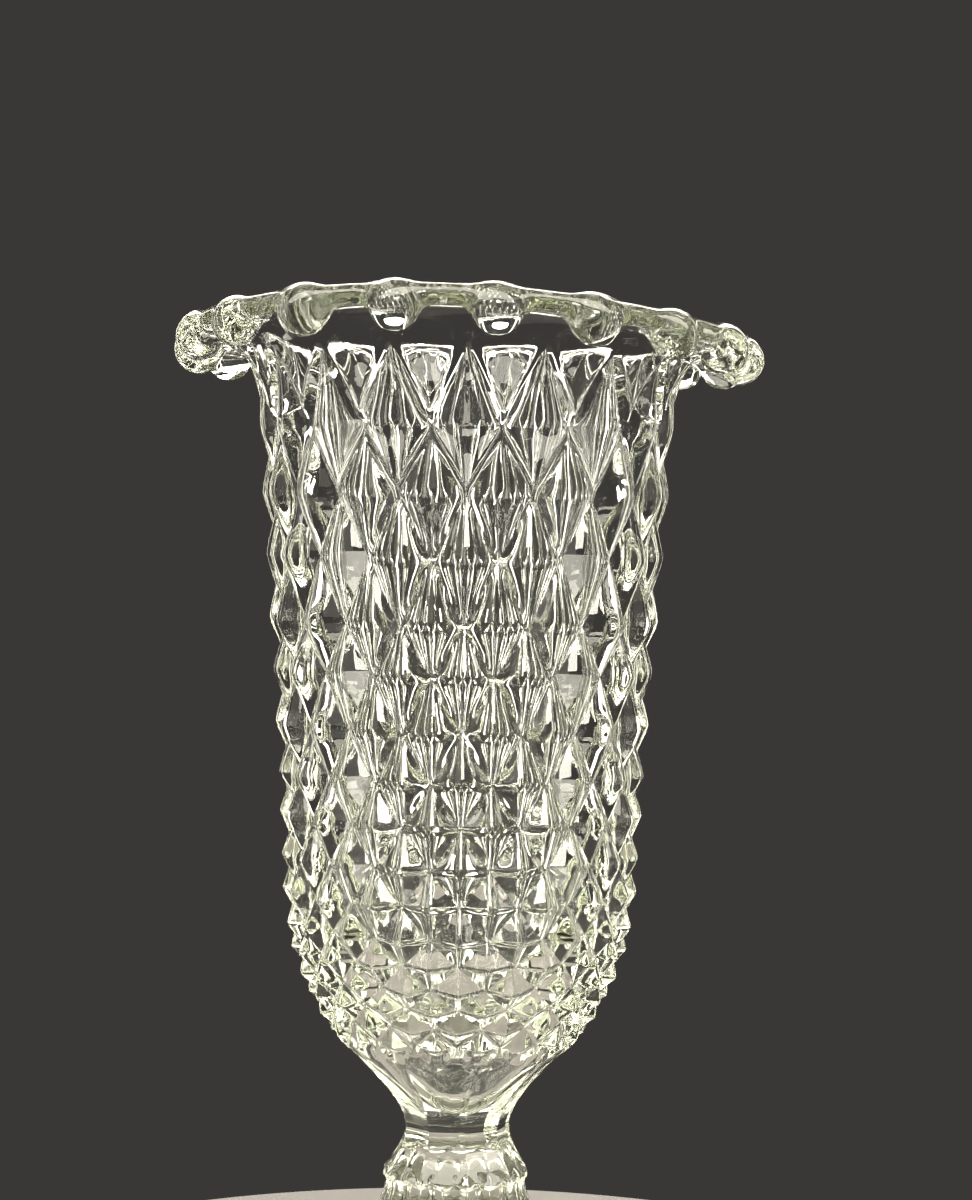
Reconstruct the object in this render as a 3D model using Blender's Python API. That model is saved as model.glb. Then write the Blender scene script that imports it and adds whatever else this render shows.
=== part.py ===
"""Footed pressed-glass vase with a diamond-point bowl, a panelled stem and a beaded, turned-out rim.

Units are metres, +Z is up, the foot stands on Z = 0 and the vase's axis is the Z axis.
Angles go round the axis from the front (-Y) towards +X.
"""
import math

import bmesh
import bpy

MM = 0.001

# ---- whole vase
DIAMONDS = 18                    # diamonds round the bowl, also flutes on the foot and beads on the rim
STEPS = 2 * DIAMONDS             # half a diamond per step round the axis
PANELS = 9                       # flat panels round the stem, two diamonds wide each
PANEL_RIDGE = math.radians(10)   # one ridge between two panels stands here
GAP = 0.3 * MM                   # clearance between neighbouring pieces

# ---- bowl: height and peak radius of each row of diamonds, top row first
ROW_HEIGHTS = [231, 213.5, 197.5, 181, 168, 154, 141.5, 130.5,
               120, 110.5, 102, 95, 88.5, 83, 78, 73]
ROW_RADII = [53.9, 52.8, 51.8, 50.6, 49.6, 48.6, 47.8, 47.2,
             46.8, 46.2, 45.2, 43.8, 41.5, 39.0, 36.2, 32.9]
ROW_RELIEF = [4.2, 4.4, 4.6, 4.6, 4.6, 4.5, 4.3, 4.1,
              3.9, 3.7, 3.5, 3.3, 3.1, 2.9, 2.5, 1.8]
BOWL_TOP_Z = 249.5               # the tips of the top diamonds end here
BOWL_TOP_RADIUS = 57.4
UNDER_BOWL = [(70.6, 30.8), (66.3, 25.4), (62.6, 22.2), (58.8, 18.6), (54.3, 15.4)]
BOWL_INSIDE = [(249.5, 52.3), (240.0, 48.0), (225.0, 45.8), (205.0, 44.0), (180.0, 42.3),
               (155.0, 40.5), (130.0, 39.2), (112.0, 38.0), (98.0, 35.4), (86.0, 30.0),
               (76.0, 22.6), (68.0, 15.6), (61.0, 9.8), (56.5, 6.0)]
BOWL_FLOOR_Z = 54.5              # lowest point of the inside
STEM_JOINT_Z = 50.3              # underside of the bowl piece

# ---- stem: height and radius, from the bowl down to the scalloped collar
STEM_PROFILE = [(48.6, 13.6), (46.0, 13.7), (43.7, 14.5), (41.5, 15.5), (39.6, 16.6)]
STEM_TOP_RADIUS = 13.8
COLLAR_Z = 35.6
COLLAR_RADIUS = 19.0
COLLAR_EDGE_Z = 37.0
PANEL_FLATNESS = 0.96            # 0.94 would put the panel centres on the inscribed circle

# ---- foot: height, radius and flute depth, from the collar down to the edge
FOOT_TOP_Z = 35.3
FOOT_PROFILE = [(35.3, 17.9, 0.7), (31.0, 18.8, 0.9), (26.5, 20.3, 1.0), (22.0, 22.7, 1.1),
                (17.5, 25.9, 1.2), (13.0, 30.6, 1.3), (9.0, 35.6, 1.4), (6.0, 39.6, 1.4),
                (3.8, 42.0, 1.3), (2.0, 42.9, 1.2), (0.7, 42.6, 1.1), (0.0, 41.8, 1.0)]
FOOT_RING_INNER = 36.0           # inner edge of the ring that stands on the table
FOOT_HOLLOW = [(1.6, 34.0), (3.6, 29.0), (5.4, 21.0), (6.6, 11.0)]
FOOT_HOLLOW_Z = 7.2              # roof of the shallow hollow under the foot

# ---- rim: closed section as height, radius and share of the rim's lift
RIM_SECTION = [(249.8, 52.4, 0.0), (252.4, 53.6, 0.2), (255.0, 56.0, 0.5), (256.8, 60.0, 0.85),
               (257.4, 64.0, 1.0), (257.3, 68.5, 1.0), (256.6, 71.4, 1.0), (254.8, 72.8, 1.0),
               (252.9, 71.8, 1.0), (252.1, 68.5, 1.0), (252.0, 65.0, 1.0), (252.0, 62.2, 0.85),
               (251.5, 59.4, 0.5), (249.8, 57.2, 0.0)]
RIM_STEPS = 72
RIM_LIFT = 5.1                   # the turned-out rim stands higher at the front than at the back
RIM_WAVE = 2.3                   # and a little lower at the two sides
RIM_HIGH_SIDE = math.radians(-11)

# ---- beads under the rim's edge
BEAD_RADIUS = 6.35
BEAD_CENTRE_RADIUS = 70.3
BEAD_CENTRE_Z = 252.4
FIRST_BEAD = math.radians(5.5)
BEAD_SEGMENTS = 16
BEAD_RINGS = 8

GLASS_TINT = (0.90, 0.94, 0.91, 1.0)


def clear_scene():
    for old in list(bpy.data.objects):
        bpy.data.objects.remove(old, do_unlink=True)


def glass(name, tint=GLASS_TINT, roughness=0.04):
    material = bpy.data.materials.new(name)
    material.use_nodes = True
    surface = material.node_tree.nodes["Principled BSDF"]
    surface.inputs["Base Color"].default_value = tint
    surface.inputs["Roughness"].default_value = roughness
    surface.inputs["Metallic"].default_value = 0.0
    return material


def point(radius, angle, height):
    """Place a point from millimetres and an angle measured from the front towards +X."""
    return (radius * MM * math.sin(angle), -radius * MM * math.cos(angle), height * MM)


def full_turn(steps):
    return [2 * math.pi * k / steps for k in range(steps)]


def add_ring(mesh, points):
    return [mesh.verts.new(p) for p in points]


def join_rings(mesh, upper, lower, smooth=False, valley_first=None):
    """Join two rings; with valley_first each four-sided patch is folded along its groove."""
    count = len(upper)
    for k in range(count):
        n = (k + 1) % count
        if valley_first is None:
            faces = [(upper[k], upper[n], lower[n], lower[k])]
        elif (k % 2 == 0) == valley_first:
            faces = [(upper[k], upper[n], lower[n]), (upper[k], lower[n], lower[k])]
        else:
            faces = [(upper[k], upper[n], lower[k]), (upper[n], lower[n], lower[k])]
        for corners in faces:
            mesh.faces.new(corners).smooth = smooth


def close_ring(mesh, ring, centre, smooth=False):
    """Close a ring with a fan of triangles to a point on the axis."""
    tip = mesh.verts.new(centre)
    count = len(ring)
    for k in range(count):
        mesh.faces.new((ring[k], ring[(k + 1) % count], tip)).smooth = smooth


def finish_object(mesh, name, material):
    bmesh.ops.recalc_face_normals(mesh, faces=mesh.faces[:])
    data = bpy.data.meshes.new(name)
    mesh.to_mesh(data)
    mesh.free()
    data.materials.append(material)
    made = bpy.data.objects.new(name, data)
    bpy.context.scene.collection.objects.link(made)
    return made


def panel_radius(radius, angle, share):
    """Radius of a round section pressed into flat panels; share 0 keeps it round."""
    width = 2 * math.pi / PANELS
    from_middle = (angle - PANEL_RIDGE) % width - width / 2
    flat = radius * PANEL_FLATNESS / math.cos(from_middle)
    return radius + share * (flat - radius)


def diamond_ring(row):
    """Peaks and valleys alternate round a row and change places from one row to the next."""
    points = []
    for k, angle in enumerate(full_turn(STEPS)):
        radius = ROW_RADII[row]
        if (k + row) % 2 == 1:
            radius -= ROW_RELIEF[row]
        points.append(point(radius, angle, ROW_HEIGHTS[row]))
    return points


def make_bowl(material):
    mesh = bmesh.new()
    turn = full_turn(STEPS)

    # inside, from the mouth down to the rounded floor
    inside = [add_ring(mesh, [point(r, a, z) for a in turn]) for z, r in BOWL_INSIDE]
    for upper, lower in zip(inside, inside[1:]):
        join_rings(mesh, upper, lower, smooth=True)
    close_ring(mesh, inside[-1], (0, 0, BOWL_FLOOR_Z * MM), smooth=True)

    # outside, from the mouth down through the rows of diamonds
    mouth = add_ring(mesh, [point(BOWL_TOP_RADIUS, a, BOWL_TOP_Z) for a in turn])
    join_rings(mesh, inside[0], mouth)
    rows = [add_ring(mesh, diamond_ring(row)) for row in range(len(ROW_HEIGHTS))]
    join_rings(mesh, mouth, rows[0], valley_first=True)
    for row, (upper, lower) in enumerate(zip(rows, rows[1:])):
        join_rings(mesh, upper, lower, valley_first=row % 2 == 1)

    # panelled underside, round where it leaves the diamonds
    below = []
    for step, (z, r) in enumerate(UNDER_BOWL):
        share = min(1.0, 0.35 * (step + 1))
        below.append(add_ring(mesh, [point(panel_radius(r, a, share), a, z) for a in turn]))
    last = [point(panel_radius(STEM_TOP_RADIUS, a, 1.0), a, STEM_JOINT_Z) for a in turn]
    below.append(add_ring(mesh, last))
    join_rings(mesh, rows[-1], below[0])
    for upper, lower in zip(below, below[1:]):
        join_rings(mesh, upper, lower)
    close_ring(mesh, below[-1], (0, 0, STEM_JOINT_Z * MM))
    return finish_object(mesh, "bowl", material)


def make_stem(material):
    mesh = bmesh.new()
    turn = full_turn(STEPS)
    top_z = STEM_JOINT_Z - GAP / MM
    levels = [(top_z, STEM_TOP_RADIUS)] + STEM_PROFILE
    rings = [add_ring(mesh, [point(panel_radius(r, a, 1.0), a, z) for a in turn]) for z, r in levels]

    # the collar flares out and its edge hangs in small scallops, one per flute of the foot
    edge = []
    foot_side = []
    for k, angle in enumerate(turn):
        hanging = k % 2 == 1
        radius = COLLAR_RADIUS if hanging else COLLAR_RADIUS - 1.2
        height = COLLAR_EDGE_Z - 1.2 if hanging else COLLAR_EDGE_Z
        edge.append(point(radius, angle, height))
        foot_side.append(point(COLLAR_RADIUS - 2.0, angle, COLLAR_Z))
    rings.append(add_ring(mesh, edge))
    rings.append(add_ring(mesh, foot_side))
    for upper, lower in zip(rings, rings[1:]):
        join_rings(mesh, upper, lower)
    close_ring(mesh, rings[0], (0, 0, top_z * MM))
    close_ring(mesh, rings[-1], (0, 0, COLLAR_Z * MM))
    return finish_object(mesh, "stem", material)


def make_foot(material):
    mesh = bmesh.new()
    steps = 2 * STEPS
    turn = full_turn(steps)
    rings = []
    for z, r, depth in FOOT_PROFILE:
        ring = [point(r - depth * (0.5 - 0.5 * math.cos(DIAMONDS * a)), a, z) for a in turn]
        rings.append(add_ring(mesh, ring))
    rings.append(add_ring(mesh, [point(FOOT_RING_INNER, a, 0.0) for a in turn]))
    rings += [add_ring(mesh, [point(r, a, z) for a in turn]) for z, r in FOOT_HOLLOW]
    for upper, lower in zip(rings, rings[1:]):
        join_rings(mesh, upper, lower, smooth=True)
    close_ring(mesh, rings[0], (0, 0, FOOT_TOP_Z * MM))
    close_ring(mesh, rings[-1], (0, 0, FOOT_HOLLOW_Z * MM), smooth=True)
    return finish_object(mesh, "foot", material)


def rim_lift(angle):
    """Height the turned-out edge gains at this angle, in millimetres."""
    turned = angle - RIM_HIGH_SIDE
    return RIM_LIFT * math.cos(turned) + RIM_WAVE * math.cos(2 * turned)


def make_rim(material):
    mesh = bmesh.new()
    turn = full_turn(RIM_STEPS)
    rings = []
    for z, r, share in RIM_SECTION:
        rings.append(add_ring(mesh, [point(r, a, z + share * rim_lift(a)) for a in turn]))
    for this, following in zip(rings, rings[1:] + rings[:1]):
        join_rings(mesh, this, following, smooth=True)
    return finish_object(mesh, "rim", material)


def bead_places():
    places = []
    for k in range(DIAMONDS):
        angle = FIRST_BEAD + 2 * math.pi * k / DIAMONDS
        places.append(point(BEAD_CENTRE_RADIUS, angle, BEAD_CENTRE_Z + rim_lift(angle)))
    return places


def sphere(mesh, radius, centre):
    made = bmesh.ops.create_uvsphere(mesh, u_segments=BEAD_SEGMENTS, v_segments=BEAD_RINGS, radius=radius)
    bmesh.ops.translate(mesh, verts=made["verts"], vec=centre)


def cut_bead_seats(rim):
    """Take a round seat out of the rim for every bead, a hair larger than the bead."""
    mesh = bmesh.new()
    for place in bead_places():
        sphere(mesh, BEAD_RADIUS * MM + GAP, place)
    data = bpy.data.meshes.new("bead_seats")
    mesh.to_mesh(data)
    mesh.free()
    cutter = bpy.data.objects.new("bead_seats", data)
    bpy.context.scene.collection.objects.link(cutter)
    cutter.hide_render = True
    cutter.display_type = 'WIRE'
    cut = rim.modifiers.new("bead seats", 'BOOLEAN')
    cut.operation = 'DIFFERENCE'
    cut.solver = 'EXACT'
    cut.object = cutter


def make_beads(material):
    mesh = bmesh.new()
    sphere(mesh, BEAD_RADIUS * MM, (0, 0, 0))
    for face in mesh.faces:
        face.smooth = True
    data = bpy.data.meshes.new("rim_bead")
    mesh.to_mesh(data)
    mesh.free()
    data.materials.append(material)
    for k, place in enumerate(bead_places()):
        bead = bpy.data.objects.new(f"rim_bead_{k + 1:02d}", data)
        bead.location = place
        bpy.context.scene.collection.objects.link(bead)


clear_scene()
make_foot(glass("foot glass", (0.86, 0.92, 0.88, 1.0)))
make_stem(glass("stem glass", (0.88, 0.93, 0.90, 1.0)))
make_bowl(glass("bowl glass"))
rim_piece = make_rim(glass("rim glass", (0.87, 0.92, 0.86, 1.0)))
cut_bead_seats(rim_piece)
make_beads(glass("bead glass", (0.90, 0.95, 0.92, 1.0), 0.02))
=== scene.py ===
# %% [markdown]
# # A footed pressed-glass vase
# The vase is one piece of clear glass that was pressed in a mould. Its wall is covered with
# diamond points, its stem is pressed into flat panels, and its lip was turned out while hot and
# carries a string of round beads. This lesson turns one section round the vase's axis, presses
# the pattern into that skin by formula, and gives it clear glass.

# %% The frame
import math
from collections import namedtuple

import bmesh
import bpy
from mathutils import Matrix, Vector, noise


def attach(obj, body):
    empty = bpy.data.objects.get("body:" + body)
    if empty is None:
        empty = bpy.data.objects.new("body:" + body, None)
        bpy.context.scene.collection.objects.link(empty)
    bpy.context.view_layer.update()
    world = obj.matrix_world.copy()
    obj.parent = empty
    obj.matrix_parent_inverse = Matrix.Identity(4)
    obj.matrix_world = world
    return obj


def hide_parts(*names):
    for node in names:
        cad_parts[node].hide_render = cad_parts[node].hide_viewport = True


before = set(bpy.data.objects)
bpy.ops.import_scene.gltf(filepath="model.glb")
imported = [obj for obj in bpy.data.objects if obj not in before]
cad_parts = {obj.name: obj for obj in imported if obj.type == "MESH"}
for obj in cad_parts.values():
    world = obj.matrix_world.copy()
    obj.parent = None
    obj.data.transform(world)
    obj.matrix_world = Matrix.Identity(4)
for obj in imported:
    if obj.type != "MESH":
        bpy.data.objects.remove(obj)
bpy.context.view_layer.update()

# %% [markdown]
# ## Driving dimensions
# Eighteen diamonds go round the bowl, and everything else on the vase keeps that rhythm: a stem
# panel is two diamonds wide, and there is one flute on the foot and one bead on the rim for each
# diamond. The skin is divided so that every groove between two diamonds runs along mesh edges.

# %% Driving dimensions
MM = 0.001
DIAMONDS = 18                             # diamonds round the bowl, and beads round the lip
FINE = 8                                  # mesh steps across half a diamond
STEPS = 2 * DIAMONDS * FINE               # mesh steps round the vase
HALF_DIAMOND = math.pi / DIAMONDS         # angle of half a diamond
PANELS = 9                                # flat panels on the stem, each two diamonds wide
PANEL_WIDTH = 2 * math.pi / PANELS
PANEL_RIDGE = math.radians(10)            # angle of the first ridge between two panels
ALL_NODES = sorted(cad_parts)

print(f"{STEPS} steps round the vase, {len(ALL_NODES)} CAD nodes to stand for")


# %% [markdown]
# ## Reading the diamonds off the CAD bowl
# The CAD bowl has one ring of points for each row of diamonds, and on such a ring peaks and
# valleys alternate. A ring whose radius swings is therefore a row. Reading the rows here keeps
# the fine skin on the same lattice as the solid that it stands for.

# %% Rows of diamonds
SWING = 0.9 * MM                          # a ring that swings by more than this is a row
LATTICE_FOOT = 72 * MM                    # the stem's panels lie below this height
LATTICE_HEAD = 235 * MM                   # the plain shoulder lies above this one


def read_rows(node):
    """The rows of diamonds from the top down, as (height, radius of the peaks, relief)."""
    rings = {}
    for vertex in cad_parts[node].data.vertices:
        radius = math.hypot(vertex.co.x, vertex.co.y)
        rings.setdefault(round(vertex.co.z / MM, 2), []).append(radius / MM)
    rows = []
    for height in sorted(rings, reverse=True):
        peak, valley = max(rings[height]), min(rings[height])
        if (peak - valley) * MM > SWING and LATTICE_FOOT < height * MM < LATTICE_HEAD:
            rows.append((height, peak, peak - valley))
    return rows


ROWS = read_rows("bowl")
print(f"{len(ROWS)} rows, from {ROWS[0][0]:.1f} mm down to {ROWS[-1][0]:.1f} mm")


# %% [markdown]
# ## A smooth line through a few points
# A turned shape needs only the points that give it its character. A Catmull-Rom curve passes
# through all of them and stays smooth between, so a short list of heights and radii is enough.

# %% Smooth curves
def catmull_rom(before, start, end, after, t):
    """The value at share t between start and end, with the slopes that their neighbours give."""
    slope_in = (end - before) / 2
    slope_out = (after - start) / 2
    rise = end - start
    return (start + slope_in * t + (3 * rise - 2 * slope_in - slope_out) * t ** 2
            + (slope_in + slope_out - 2 * rise) * t ** 3)


def smooth_line(points, steps):
    """Points on a smooth curve through the given points, with so many steps in each span."""
    line = []
    for span in range(len(points) - 1):
        before = points[max(span - 1, 0)]
        after = points[min(span + 2, len(points) - 1)]
        start, end = points[span], points[span + 1]
        for step in range(steps):
            t = step / steps
            line.append(tuple(catmull_rom(*four, t) for four in zip(before, start, end, after)))
    line.append(tuple(points[-1]))
    return line


print("a curve through three points:", smooth_line([(0, 0), (1, 2), (2, 0)], 2))


# %% [markdown]
# ## The section
# The section runs from the middle of the hollow under the foot, up the outside, over the lip and
# down the inside to the floor of the bowl. All its heights and radii are in millimetres. Every
# point also carries three marks that steer the pressing: its place in the lattice of diamonds,
# its share of the rim's lift, and the zone that it belongs to.

# %% The section
Station = namedtuple("Station", "height radius place share zone")
NO_PLACE = 99.0                           # the mark of a point that lies outside the lattice

HOLLOW = [(7.2, 0.0), (6.6, 11.0), (5.4, 21.0), (3.6, 29.0), (1.6, 34.0), (0.0, 36.2)]
FOOT = [(0.0, 41.4), (0.9, 42.6), (2.6, 42.9), (5.0, 41.0), (9.0, 35.8), (14.0, 29.8),
        (19.0, 25.2), (24.0, 21.9), (29.0, 19.6), (33.0, 18.4), (35.4, 18.0)]
STEM = [(35.9, 18.3), (36.4, 18.9), (37.0, 18.8), (38.2, 17.9), (39.6, 16.9), (41.5, 15.8),
        (43.7, 14.7), (46.2, 13.8), (48.8, 13.6), (51.5, 14.2), (54.3, 15.4), (58.8, 18.4),
        (62.6, 22.0), (66.3, 25.6), (69.4, 29.1), (71.6, 31.6)]
SHOULDER = [(240.0, 54.8), (247.5, 57.3)]  # the top tips of the diamonds end at the last point
LIP_UNDER = [(250.2, 59.2), (251.7, 61.5), (252.0, 64.4), (252.02, 67.2), (252.02, 70.0)]
LIP_TOP = [(257.38, 70.0), (257.38, 67.8), (257.35, 65.5), (257.1, 62.5), (256.3, 59.2),
           (254.6, 56.3), (252.2, 54.2), (249.0, 52.3)]
INSIDE = [(244.0, 49.9), (236.0, 47.3), (225.0, 45.8), (205.0, 44.0), (180.0, 42.3),
          (155.0, 40.5), (130.0, 39.2), (112.0, 38.0), (98.0, 35.2), (86.0, 29.8),
          (76.0, 22.6), (68.0, 15.6), (61.0, 9.6), (56.6, 5.2), (54.5, 0.0)]
LIP_EDGE_RADIUS = 70.2                    # centre of the lip's round edge
LIP_EDGE_HEIGHT = 254.7
LIP_HALF = 2.68                           # half the lip's thickness
EDGE_STEPS = 24                           # steps round the lip's edge
WALL_RADIUS, LIFTED_RADIUS = 54, 63       # the lift sets in between these radii outside
WALL_TOP, LIFTED_HEIGHT = 242, 256        # and between these heights inside


def smooth_step(t):
    """Rises from 0 to 1 with no kink at either end."""
    t = min(max(t, 0.0), 1.0)
    return t * t * (3 - 2 * t)


def outer_share(height, radius):
    """How far a point outside takes part in the lip's unevenness: 0 on the wall, 1 on the lip."""
    return smooth_step((radius - WALL_RADIUS) / (LIFTED_RADIUS - WALL_RADIUS))


def inner_share(height, radius):
    """The same for the inside, which leaves the straight wall a little lower."""
    return smooth_step((height - WALL_TOP) / (LIFTED_HEIGHT - WALL_TOP))


def unmoved(height, radius):
    """Foot, stem and wall stay where they are."""
    return 0.0


def stations():
    """All points of the section, from the middle of the foot's hollow to the bowl's floor."""
    made = []

    def add(points, zone, share=unmoved):
        for height, radius in points:
            made.append(Station(height, radius, NO_PLACE, share(height, radius), zone))

    add(smooth_line(HOLLOW, 2), "hollow")
    add(smooth_line(FOOT, 2), "foot")
    add(smooth_line(STEM, 2), "stem")
    lattice = smooth_line([(z, peak, place) for place, (z, peak, _) in enumerate(ROWS)], FINE)
    for height, radius, place in reversed(lattice):
        made.append(Station(height, radius, place, 0.0, "lattice"))
    above = smooth_line([ROWS[0][:2]] + SHOULDER + LIP_UNDER, FINE // 2)
    for step, (height, radius) in enumerate(above[1:FINE + 1], 1):
        share = outer_share(height, radius)
        made.append(Station(height, radius, -step / FINE, share, "shoulder"))
    add(above[FINE + 1:], "under", outer_share)
    for step in range(1, EDGE_STEPS):
        angle = math.radians(-90 + 180 * step / EDGE_STEPS)
        height = LIP_EDGE_HEIGHT + LIP_HALF * math.sin(angle)
        radius = LIP_EDGE_RADIUS + LIP_HALF * math.cos(angle)
        made.append(Station(height, radius, NO_PLACE, 1.0, "edge"))
    inner = smooth_line(LIP_TOP + INSIDE, 2)
    add(inner[:2 * len(LIP_TOP)], "lip", inner_share)
    add(inner[2 * len(LIP_TOP):], "inside", inner_share)
    return made


SECTION = stations()
print(f"the section has {len(SECTION)} points")


# %% [markdown]
# ## Turning the section
# The section is a chain of edges in the plane through the vase's front. Spin carries it once round
# the axis and merges the last copy with the first. A vertex layer remembers which point of the
# section each vertex came from, because the pressing below needs to know.

# %% Turning
def turned_skin():
    """The section turned once round the axis, and the layer that says which station a vertex is."""
    skin = bmesh.new()
    mark = skin.verts.layers.int.new("station")
    chain = []
    for number, station in enumerate(SECTION):
        vertex = skin.verts.new((0, -station.radius * MM, station.height * MM))
        vertex[mark] = number
        chain.append(vertex)
    edges = [skin.edges.new(pair) for pair in zip(chain, chain[1:])]
    bmesh.ops.spin(skin, geom=chain + edges, cent=(0, 0, 0), axis=(0, 0, 1), dvec=(0, 0, 0),
                   angle=2 * math.pi, steps=STEPS, use_merge=True, use_duplicate=False)
    bmesh.ops.remove_doubles(skin, verts=skin.verts[:], dist=0.002 * MM)
    bmesh.ops.recalc_face_normals(skin, faces=skin.faces[:])
    return skin, mark


skin, mark = turned_skin()
print(f"turned: {len(skin.verts)} vertices, {len(skin.faces)} faces")


# %% [markdown]
# ## One diamond
# In a lattice where one step is half a diamond, a point's distance from the nearest peak is how
# far it is across plus how far it is along. It is 1 on the grooves. The upper diamonds were cut
# into the mould with a round wheel, so across they are arched like a lens and along they fold at
# a crease. The lower ones are true four-sided points. One power, from nearly 2 down to 1, leads
# from the one to the other. Above the top row the ridges and grooves run out into plain glass,
# which is hollowed a little between the tips.

# %% The diamond's shape
ARCHED, POINTED = 1.9, 1.0                # the power across the top row and the lowest rows
POINTED_FROM = 11                         # from this row down the diamonds are true points
CREASE = 0.10                             # how much the top folds are rounded, in half diamonds
CREASE_LOSS = 0.75                        # the share of that rounding that the points have lost
PLAIN_LEVEL = 0.25                        # the plain glass beyond the lattice lies below the peaks
GROOVE_WIDTH = 0.16                       # of the grooves' outer flanks, in half diamonds
AT_TIP = 0.999                            # from here on a point counts as the tip of its diamond
TIP_RIDGE = 0.35                          # how deep the ridge of a top diamond lies at its tip
TIP_GROOVE = 0.45                         # and how deep the grooves beside it end
LAST_HALF_ROW = 3.4                       # from the lowest peaks down to their tips, in millimetres
SCOOP = 1.0                               # depth of the hollows between the tips, in millimetres
SCOOP_START, SCOOP_FULL = 241, 248        # heights between which a hollow sets in
SCOOP_FADE, SCOOP_END = 58.5, 63          # radii between which it runs out under the lip


def angle_of(point):
    """The angle round the axis, counted from the vase's front."""
    return math.atan2(point.x, -point.y)


def softened(distance, rounding):
    """A distance whose sharp start at 0 is rounded, while 1 stays 1."""
    return (math.hypot(distance, rounding) - rounding) / (math.hypot(1, rounding) - rounding)


def nearest_peak(across, place):
    """The middle of the diamond that this point belongs to, in lattice steps."""
    rising = 2 * round((across + place) / 2)
    falling = 2 * round((across - place) / 2)
    return (rising + falling) / 2, (rising - falling) / 2


def groove_distance(across, place):
    """0 on a peak and 1 on a groove."""
    peak_across, peak_place = nearest_peak(across, place)
    return abs(across - peak_across) + abs(place - peak_place)


def diamond_depth(across, place):
    """How deep the skin lies under the peaks here, as a share of the relief."""
    peak_across, peak_place = nearest_peak(across, place)
    beyond = max(-place, place - (len(ROWS) - 1), 0)
    groove = 1 - (1 - TIP_GROOVE) * min(beyond, 1)
    if peak_place < 0 or peak_place > len(ROWS) - 1:
        plain = PLAIN_LEVEL * (1 - smooth_step(beyond))
        outside = 1 - groove_distance(across, place)
        return groove + (plain - groove) * smooth_step(outside / GROOVE_WIDTH)
    down = min(max(place, 0) / POINTED_FROM, 1)
    power = ARCHED + (POINTED - ARCHED) * down
    rounding = CREASE * (1 - CREASE_LOSS * down)
    along = softened(abs(place - peak_place), rounding)
    beside = softened(abs(across - peak_across), rounding)
    if along >= AT_TIP:
        return groove
    ridge = TIP_RIDGE * along if place < 0 else along
    return ridge + (groove - ridge) * min(beside / (1 - along), 1) ** power


def scoop(across, height, radius):
    """How deep the plain glass is hollowed between two top tips, on its way to the lip."""
    between_tips = (1 - math.cos(math.pi * across)) / 2
    above = smooth_step((height - SCOOP_START) / (SCOOP_FULL - SCOOP_START))
    below = 1 - smooth_step((radius - SCOOP_FADE) / (SCOOP_END - SCOOP_FADE))
    return SCOOP * between_tips * (above * below)


def relief(place):
    """The height of the diamonds here in millimetres, read between the rows."""
    place = min(max(place, 0), len(ROWS) - 1)
    row = min(int(place), len(ROWS) - 2)
    return ROWS[row][2] + (place - row) * (ROWS[row + 1][2] - ROWS[row][2])


def lattice_place(number):
    """A station's place in the lattice, which runs half a diamond on into the stem's top."""
    station = SECTION[number]
    below = (ROWS[-1][0] - station.height) / LAST_HALF_ROW
    if station.zone == "stem" and below < 1:
        return len(ROWS) - 1 + below
    return station.place


for place in (0, POINTED_FROM):
    halfway = diamond_depth(place % 2 + 0.5, place)
    print(f"row {place}: {relief(place):.1f} mm high, halfway across {halfway:.2f} of that deep")


# %% [markdown]
# ## Panels, scallops and flutes
# Below the bowl the mould had flat panels. A panel is flat where its distance from the axis grows
# with one over the cosine of the angle from its middle. The collar under the stem hangs in small
# scallops, and the foot has one rounded lobe under each, with a sharp valley between lobes.

# %% Stem, collar and foot
PANEL_FLATNESS = 0.96                     # a panel's middle over the radius of the round section
PANELS_FOOT, PANELS_HEAD = 36.4, 71.5     # the panels run between these heights
FADE_IN, FADE_OUT = 3, 12                 # and set in and run out over these lengths
COLLAR_TOP = 39                           # the scallops hang from below this height
SCALLOP_DROP = 1.5
LOBE_DEPTH = [(0.0, 1.1), (5.0, 1.5), (15.0, 1.3), (25.0, 1.0), (35.2, 0.5)]  # height, depth


def table(points, value):
    """Reads a value off a short list of (position, value) pairs, with straight lines between."""
    for (low, first), (high, second) in zip(points, points[1:]):
        if value <= high:
            share = min(max((value - low) / (high - low), 0), 1)
            return first + (second - first) * share
    return points[-1][1]


def panelled(radius, angle, share):
    """A radius on the way from round (share 0) to flat panels (share 1)."""
    from_middle = (angle - PANEL_RIDGE) % PANEL_WIDTH - PANEL_WIDTH / 2
    flat = radius * PANEL_FLATNESS / math.cos(from_middle)
    return radius + share * (flat - radius)


def wave(angle):
    """A row of round arcs, one for each diamond: 0 where two arcs meet, 1 in their middles."""
    return abs(math.sin(DIAMONDS / 2 * angle))


waist = min(radius for _, radius in STEM)
print(f"at the waist the ridges stand {panelled(waist, PANEL_RIDGE, 1):.1f} mm from the axis")


# %% [markdown]
# ## The lip and its beads
# The lip was turned out by hand, so it stands higher at the front than at the back and a little
# lower at the two sides. The beads are lumps fused into its round edge. Lip and bead are described
# as distances, the two distances are blended into one rounded union, and each point of the skin
# is let down onto that union along its own direction.

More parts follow.
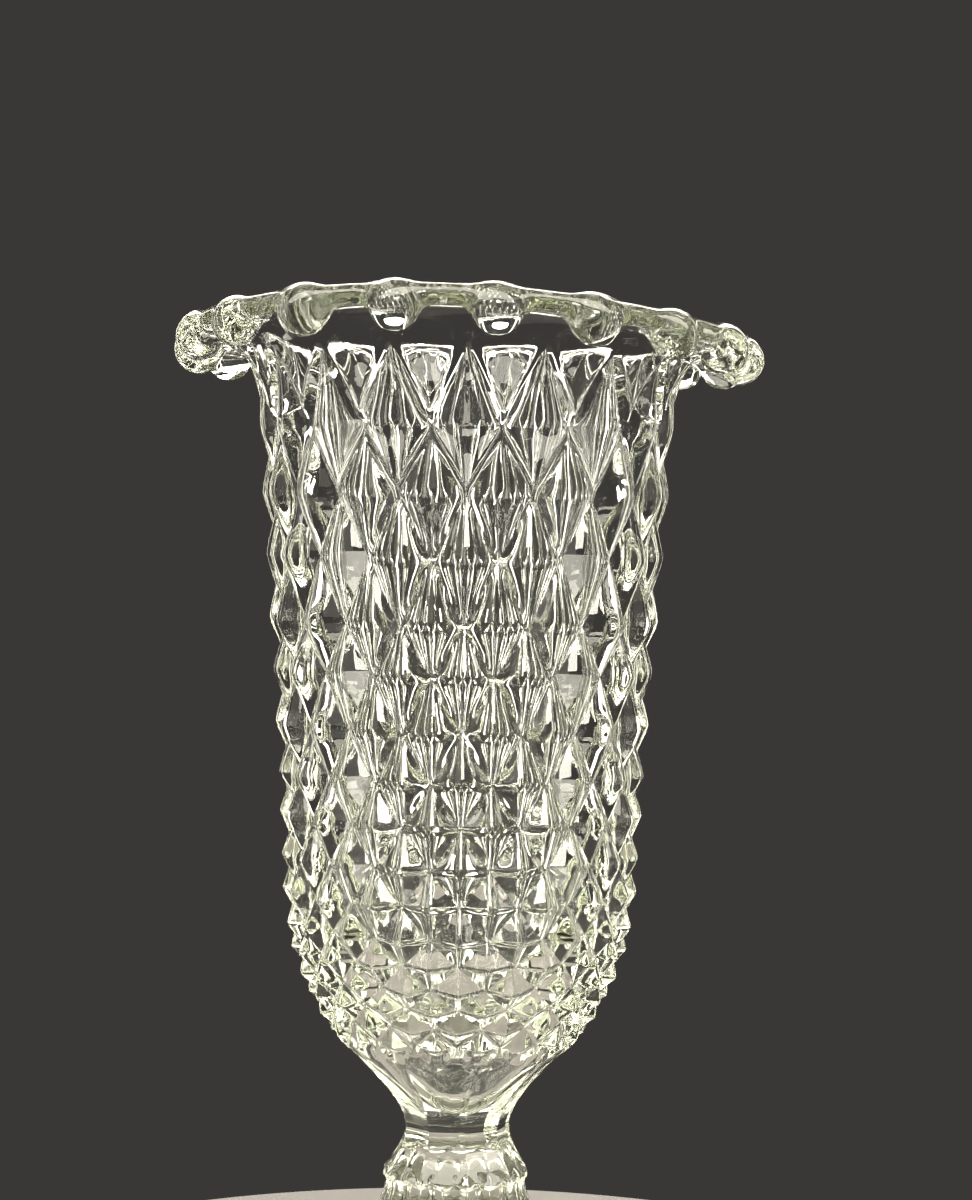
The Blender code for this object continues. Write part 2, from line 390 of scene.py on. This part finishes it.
# %% The lip
RIM_LIFT = 5.1                            # up at the high side and down at the other
RIM_WAVE = 2.3                            # up at both, and down at the sides between
RIM_HIGH_SIDE = math.radians(-11)
FIRST_BEAD = math.radians(5.5)
BEAD_PITCH = 2 * math.pi / DIAMONDS
BEAD_RADIUS = 6.3
BEAD_VARIATION = 0.03                     # of the radius, from bead to bead
BEAD_SCATTER = 2.4                        # radians, so that large and small beads come mixed
BEAD_OUT = 70.4                           # from the vase's axis to a bead's centre
BEAD_HEIGHT = 251.9
FUSING = 2.8                              # width of the fillet between a bead and the lip
GATHER = 0.6                              # 0 spreads the mesh evenly, 1 draws it onto the beads
GATHER_START, GATHER_FULL = 60, 65        # the radii over which the mesh begins to gather
FUSED_FROM = 62.4                         # from this radius out the skin lies on lip and beads
START_REACH = 11.0                        # how far outside the lip each search for the skin starts
SEARCH_STEPS = 24
STEP_SHARE = 0.9                          # of the distance still to go, at each step of the search


def rim_lift(angle):
    """How much higher than the mean the lip stands at this angle."""
    turned = angle - RIM_HIGH_SIDE
    return RIM_LIFT * math.cos(turned) + RIM_WAVE * math.cos(2 * turned)


def bead_distance(radius, height, angle):
    """Distance to the nearest bead's surface, negative inside it."""
    number = round((angle - FIRST_BEAD) / BEAD_PITCH)
    turned = angle - FIRST_BEAD - number * BEAD_PITCH
    along = radius * math.cos(turned) - BEAD_OUT
    beside = radius * math.sin(turned)
    size = BEAD_RADIUS * (1 + BEAD_VARIATION * math.sin(number * BEAD_SCATTER))
    return math.sqrt(along ** 2 + beside ** 2 + (height - BEAD_HEIGHT) ** 2) - size


def lip_distance(radius, height):
    """Distance to the surface of the lip, a flat flange with a half-round edge."""
    if radius < LIP_EDGE_RADIUS:
        return abs(height - LIP_EDGE_HEIGHT) - LIP_HALF
    return math.hypot(radius - LIP_EDGE_RADIUS, height - LIP_EDGE_HEIGHT) - LIP_HALF


def fused(first, second):
    """The smaller of two distances, with the corner between them rounded."""
    blend = min(max(0.5 + 0.5 * (second - first) / FUSING, 0), 1)
    return second + (first - second) * blend - FUSING * blend * (1 - blend)


def gathered(angle, share):
    """Draws the columns of the mesh together over the beads."""
    turned = (angle - FIRST_BEAD) / BEAD_PITCH
    turned -= round(turned)
    return angle - share * GATHER * BEAD_PITCH * math.sin(2 * math.pi * turned) / (2 * math.pi)


def gather_share(number):
    """1 on the outer part of the lip and 0 on the wall, with a smooth change between."""
    station = SECTION[number]
    if station.zone not in ("edge", "lip", "under"):
        return 0.0
    return smooth_step((station.radius - GATHER_START) / (GATHER_FULL - GATHER_START))


def lip_point(height, radius, angle, zone):
    """Where the skin of lip and beads lies, seen from the lip's middle line through this point."""
    if zone == "edge":
        out, up = (radius - LIP_EDGE_RADIUS) / LIP_HALF, (height - LIP_EDGE_HEIGHT) / LIP_HALF
        start = LIP_EDGE_RADIUS
    else:
        out, up = 0.0, math.copysign(1, height - LIP_EDGE_HEIGHT)
        start = radius
    reach = START_REACH
    for _ in range(SEARCH_STEPS):
        at_radius, at_height = start + out * reach, LIP_EDGE_HEIGHT + up * reach
        gap = fused(lip_distance(at_radius, at_height), bead_distance(at_radius, at_height, angle))
        reach -= STEP_SHARE * gap
    return LIP_EDGE_HEIGHT + up * reach, start + out * reach


print(f"a bead every {math.degrees(BEAD_PITCH):.0f} degrees, {2 * BEAD_RADIUS:.1f} mm across")


# %% [markdown]
# ## Pressing the pattern
# Every vertex now moves to its place: diamonds sink into the skin along the section's own normal,
# panels and flutes change the radius, and the lip takes its beads and its lift. A hand-pressed
# skin is never quite true, so a slow ripple of a few hundredths of a millimetre goes on top.

# %% Pressing
RIPPLE = 0.05                             # millimetres
RIPPLE_LENGTH = 9.0
RIPPLE_FREE = 1                           # below this height the foot's ring stays flat


def section_normals():
    """The outward direction of the section at each of its points, as (up, out)."""
    normals = []
    for number in range(len(SECTION)):
        before = SECTION[max(number - 1, 0)]
        after = SECTION[min(number + 1, len(SECTION) - 1)]
        up, out = after.height - before.height, after.radius - before.radius
        length = math.hypot(up, out) or 1.0
        normals.append((-out / length, up / length))
    return normals


NORMALS = section_normals()


def pressed(number, angle):
    """Height and radius of the finished skin for one point of the section at one angle."""
    height, radius, _, share, zone = SECTION[number]
    up, out = NORMALS[number]
    place = lattice_place(number)
    if zone == "stem":
        flatness = min(smooth_step((height - PANELS_FOOT) / FADE_IN),
                       smooth_step((PANELS_HEAD - height) / FADE_OUT))
        radius = panelled(radius, angle, flatness)
        height -= SCALLOP_DROP * wave(angle) * smooth_step((COLLAR_TOP - height) / FADE_IN)
    if place < NO_PLACE:
        depth = relief(place) * diamond_depth(angle / HALF_DIAMOND, place)
        height -= up * depth
        radius -= out * depth
    if zone in ("shoulder", "under"):
        radius -= scoop(angle / HALF_DIAMOND, height, radius)
    if zone == "foot":
        lobes = 1 - abs(math.cos(DIAMONDS / 2 * angle))
        radius -= table(LOBE_DEPTH, height) * lobes
    if zone == "edge" or (zone in ("lip", "under") and SECTION[number].radius > FUSED_FROM):
        height, radius = lip_point(height, radius, angle, zone)
    return height + share * rim_lift(angle), radius


def press(skin, mark):
    """Moves every vertex to its place. The two poles on the axis stay where they are."""
    for vertex in skin.verts:
        number = vertex[mark]
        if SECTION[number].radius == 0:
            continue
        angle = gathered(angle_of(vertex.co), gather_share(number))
        height, radius = pressed(number, angle)
        spot = Vector((radius * math.sin(angle), -radius * math.cos(angle), height))
        if SECTION[number].zone != "hollow" and height > RIPPLE_FREE:
            ripple = RIPPLE * noise.noise(spot / RIPPLE_LENGTH)
            spot += Vector((math.sin(angle), -math.cos(angle), 0)) * ripple
        vertex.co = spot * MM


press(skin, mark)
print(f"pressed: the top is now at {max(vertex.co.z for vertex in skin.verts) / MM:.1f} mm")


# %% [markdown]
# ## Grooves
# A groove crosses the mesh's squares from corner to corner. Every square of the lattice is split
# along the diagonal that runs beside its nearest groove, so grooves and flanks are clean rows of
# edges and not staircases. Marking the grooves, and the ridges between the stem's panels, as
# sharp keeps their two sides from being shaded as one round surface.

# %% Grooves
RIDGES_END = 64.0                         # the ridges between panels fade above this height
NEARLY = 0.001                            # two places in the lattice this close are the same


def groove_vertices(skin, mark):
    """The vertices that lie at the bottom of a groove."""
    found = set()
    for vertex in skin.verts:
        place = lattice_place(vertex[mark])
        if -1 - NEARLY < place < len(ROWS) + NEARLY:
            across = round(angle_of(vertex.co) / HALF_DIAMOND * FINE) / FINE
            if groove_distance(across, place) > 1 - NEARLY:
                found.add(vertex)
    return found


def fold_faces(skin, mark):
    """Splits each square of the lattice along the diagonal that its nearest groove follows."""
    for face in skin.faces[:]:
        places = [lattice_place(vertex[mark]) for vertex in face.verts]
        if len(face.verts) != 4 or max(places) > len(ROWS) + NEARLY:
            continue
        middle = face.calc_center_median()
        across = angle_of(middle) / HALF_DIAMOND
        place = sum(places) / 4
        peak_across, peak_place = nearest_peak(across, place)
        side = (across - peak_across) * (place - peak_place)
        corners = sorted(face.verts, key=lambda v: (lattice_place(v[mark]), turn_from(v, middle)))
        if side > 0:
            bmesh.utils.face_split(face, corners[1], corners[2])
        else:
            bmesh.utils.face_split(face, corners[0], corners[3])


def turn_from(vertex, middle):
    """Negative for a corner left of the face's middle, positive right of it, from outside."""
    return vertex.co.x * -middle.y + vertex.co.y * middle.x


def mark_sharp(skin, mark):
    """Marks grooves and the ridges between panels as sharp, and says how many edges that is."""
    deep = groove_vertices(skin, mark)
    count = 0
    for edge in skin.edges:
        first, second = edge.verts
        groove = first in deep and second in deep
        ridge = on_ridge(first, mark) and on_ridge(second, mark) and first[mark] != second[mark]
        edge.smooth = not (groove or ridge)
        count += not edge.smooth
    return count


def on_ridge(vertex, mark):
    """True where two of the stem's panels meet."""
    station = SECTION[vertex[mark]]
    if station.zone != "stem" or station.height > RIDGES_END:
        return False
    turned = (angle_of(vertex.co) - PANEL_RIDGE) / PANEL_WIDTH
    return abs(turned - round(turned)) < NEARLY


fold_faces(skin, mark)
print(f"{mark_sharp(skin, mark)} sharp edges")


# %% [markdown]
# ## The finished skin
# The skin has to be closed, or the glass would have no inside for light to bend in. Its volume is
# the amount of glass in the vase, and a positive sign says that all normals point outwards. The
# one skin stands for every solid of the CAD model. If foot, stem, bowl and lip were glass bodies
# that touch, light would be mirrored where they meet, and the real vase has no such joints.

# %% The vase
open_edges = [edge for edge in skin.edges if len(edge.link_faces) != 2]
print(f"open or doubled edges: {len(open_edges)}")
for face in skin.faces:
    face.smooth = True
print(f"volume {skin.calc_volume(signed=True) * 1e6:.0f} ml of glass")
mesh = bpy.data.meshes.new("vase_glass")
skin.to_mesh(mesh)
skin.free()
vase = bpy.data.objects.new("vase_glass", mesh)
bpy.context.scene.collection.objects.link(vase)
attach(vase, "root")
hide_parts(*ALL_NODES)


# %% [markdown]
# ## Materials
# Colours are written as sRGB hex values, the way a colour picker shows them, and one function
# turns them into the linear values that the renderer works with.

# %% Helpers for materials
def linear(hex_colour):
    """The linear red, green, blue and alpha of an sRGB hex colour."""
    values = []
    for start in (1, 3, 5):
        channel = int(hex_colour[start:start + 2], 16) / 255
        if channel <= 0.04045:
            values.append(channel / 12.92)
        else:
            values.append(((channel + 0.055) / 1.055) ** 2.4)
    return (*values, 1.0)


def add_node(tree, kind, settings=None, links=None):
    """Adds a node, sets its properties and sockets, and links sockets of other nodes into it."""
    node = tree.nodes.new(kind)
    for name, value in (settings or {}).items():
        if name in node.inputs:
            node.inputs[name].default_value = value
        else:
            setattr(node, name, value)
    for name, source in (links or {}).items():
        tree.links.new(source, node.inputs[name])
    return node


# %% [markdown]
# ## Clear pressed soda-lime glass
# Pressed ware is soda-lime glass with an index of 1.52. The melt holds a trace of iron, which is
# invisible in a thin wall and a faint green-grey where light runs a long way through the lip and
# the base, so the colour is an absorption inside the glass and not a coat on it.

# %% Glass
SODA_LIME_INDEX = 1.52
FIRE_POLISH_GRAIN = 2.2 * MM              # size of the faint ripples that fire polishing leaves
FIRE_POLISH_DEPTH = 0.012 * MM
GLASS_TINT = "#EFF4E2"
TINT_DENSITY = 15.0                       # per metre of glass


def pressed_glass():
    """Clear glass with a fire-polished skin and a trace of green-grey in its depth."""
    material = bpy.data.materials.new("clear_pressed_glass")
    material.use_nodes = True
    tree = material.node_tree
    tree.nodes.clear()
    place = add_node(tree, "ShaderNodeTexCoord")
    ripple = add_node(tree, "ShaderNodeTexNoise", {"Scale": 1 / FIRE_POLISH_GRAIN, "Detail": 2.0},
                      {"Vector": place.outputs["Object"]})
    bump = add_node(tree, "ShaderNodeBump", {"Strength": 0.15, "Distance": FIRE_POLISH_DEPTH},
                    {"Height": ripple.outputs["Fac"]})
    glass = add_node(tree, "ShaderNodeBsdfPrincipled",
                     {"Base Color": (1, 1, 1, 1), "Roughness": 0.0, "IOR": SODA_LIME_INDEX,
                      "Transmission Weight": 1.0}, {"Normal": bump.outputs["Normal"]})
    tint = add_node(tree, "ShaderNodeVolumeAbsorption",
                    {"Color": linear(GLASS_TINT), "Density": TINT_DENSITY})
    add_node(tree, "ShaderNodeOutputMaterial", None,
             {"Surface": glass.outputs["BSDF"], "Volume": tint.outputs["Volume"]})
    return material


vase.data.materials.append(pressed_glass())
print("the vase's material:", vase.data.materials[0].name)


# %% [markdown]
# ## The table top
# The vase stands on a plain pale round table top, a disc with matt paint. It is small, so that
# the neck is seen against the dark surroundings and not against pale paint. It lies a tenth of a
# millimetre below the foot: where two surfaces share a plane, the renderer has to choose between
# them, and the foot's ring would turn black.

# %% Floor
FLOOR_RADIUS = 0.14
FLOOR_GAP = 0.1 * MM                      # keeps the top from lying in the foot's own plane
FLOOR_PAINT = "#767370"


def table_top():
    """A round disc just under the foot."""
    disc = bmesh.new()
    bmesh.ops.create_circle(disc, cap_ends=True, cap_tris=False, segments=128, radius=FLOOR_RADIUS)
    data = bpy.data.meshes.new("table_top")
    disc.to_mesh(data)
    disc.free()
    made = bpy.data.objects.new("table_top", data)
    made.location.z = -FLOOR_GAP
    bpy.context.scene.collection.objects.link(made)
    paint = bpy.data.materials.new("pale_matt_paint")
    paint.use_nodes = True
    surface = paint.node_tree.nodes["Principled BSDF"]
    surface.inputs["Base Color"].default_value = linear(FLOOR_PAINT)
    surface.inputs["Roughness"].default_value = 0.7
    data.materials.append(paint)
    return made


floor = table_top()
print(f"the floor is {floor.dimensions.x / MM:.0f} mm across")


# %% [markdown]
# ## Light
# Clear glass shows little of itself. What is seen in it is the room, bent and mirrored, so the
# lights decide how it looks. Dim broad panels at the sides and above give the pale greys. A very
# long lamp overhead lays a bright arc over every bead and a line along the lip, one in front puts
# glints on the points, and narrow strips at the sides and back draw the bright lines along the
# grooves. The dark grey surroundings give the dark parts.

# %% Light
WARM_WHITE = "#FFF9EC"
SURROUNDINGS = "#3A3836"
AIMED_AT = Vector((0, 0, 0.15))           # the middle of the vase
STRIP_SIZE = (0.10, 1.1)


def softbox(name, angle, height, distance, size, radiance):
    """A rectangular lamp that faces the vase. It shows in the glass but not to the camera.

    The angle is counted from the front, in degrees. The radiance is how bright the lamp itself
    looks, so a larger lamp gives more light and not a dimmer face.
    """
    lamp = bpy.data.lights.new(name, 'AREA')
    lamp.shape = 'RECTANGLE'
    lamp.size, lamp.size_y = size
    lamp.energy = radiance * math.pi * size[0] * size[1]
    lamp.color = linear(WARM_WHITE)[:3]
    made = bpy.data.objects.new(name, lamp)
    turned = math.radians(angle)
    made.location = (distance * math.sin(turned), -distance * math.cos(turned), height)
    to_vase = AIMED_AT - made.location
    made.rotation_euler = to_vase.to_track_quat('-Z', 'Y').to_euler()
    made.visible_camera = False
    bpy.context.scene.collection.objects.link(made)
    return made


softbox("left_panel", -82, 0.50, 1.5, (0.9, 1.4), 0.5)
softbox("right_panel", 78, 0.50, 1.5, (0.9, 1.4), 0.42)
softbox("front_panel", -20, 1.00, 1.9, (1.4, 0.9), 1.2)
softbox("ceiling", 0, 1.60, 0.20, (2.4, 2.4), 0.4)
softbox("back_top", 180, 1.50, 1.3, (2.0, 0.8), 10)
softbox("front_lamp", 8, 1.20, 1.9, (0.8, 0.40), 22)
softbox("ceiling_strip", 4, 1.60, 0.90, (6.0, 0.90), 8)
softbox("back_strip_left", -150, 0.40, 1.5, STRIP_SIZE, 4.5)
softbox("back_strip_right", 152, 0.40, 1.5, STRIP_SIZE, 4.0)
softbox("side_strip_left", -115, 0.40, 1.5, STRIP_SIZE, 4.5)
softbox("side_strip_right", 112, 0.40, 1.5, STRIP_SIZE, 4.5)

world = bpy.data.worlds.new("studio")
bpy.context.scene.world = world
world.use_nodes = True
background = world.node_tree.nodes["Background"]
background.inputs["Color"].default_value = linear(SURROUNDINGS)
background.inputs["Strength"].default_value = 1.0
print("lamps:", ", ".join(sorted(lamp.name for lamp in bpy.data.lights)))


# %% [markdown]
# ## Camera
# A long lens at table distance looks a little down on the vase, from slightly below its lip. The
# lip's front edge is then seen almost level. The camera leans by about one degree. Light crosses
# a glass wall four times and more before it leaves the vase, so the limits on bounces are raised.

# %% Camera
CAMERA_DISTANCE = 0.858
CAMERA_HEIGHT = 0.225
CAMERA_LEAN = 0.9                         # degrees
LENS = 122.2                              # millimetres, over a frame 36 mm wide
SEEN_BESIDE_AXIS = 0.0057                 # where the middle of the view meets the vase's plane
SEEN_BELOW_CAMERA = 0.0390
MAX_BOUNCES = 24
GLOSSY_BOUNCES = 12
camera_data = bpy.data.cameras.new("camera")
camera_data.sensor_fit = 'HORIZONTAL'
camera_data.sensor_width = 36
camera_data.lens = LENS
camera = bpy.data.objects.new("camera", camera_data)
camera.location = (0, -CAMERA_DISTANCE, CAMERA_HEIGHT)
look = Vector((SEEN_BESIDE_AXIS, 0, CAMERA_HEIGHT - SEEN_BELOW_CAMERA)) - camera.location
turn = look.to_track_quat('-Z', 'Y').to_matrix().to_4x4()
lean = Matrix.Rotation(math.radians(CAMERA_LEAN), 4, 'Z')
camera.matrix_world = Matrix.Translation(camera.location) @ turn @ lean
bpy.context.scene.collection.objects.link(camera)
scene = bpy.context.scene
scene.camera = camera
scene.cycles.max_bounces = MAX_BOUNCES
scene.cycles.transmission_bounces = MAX_BOUNCES
scene.cycles.glossy_bounces = GLOSSY_BOUNCES
scene.view_settings.view_transform = 'Standard'
print(f"the camera stands {CAMERA_DISTANCE * 1000:.0f} mm in front of the vase's axis")
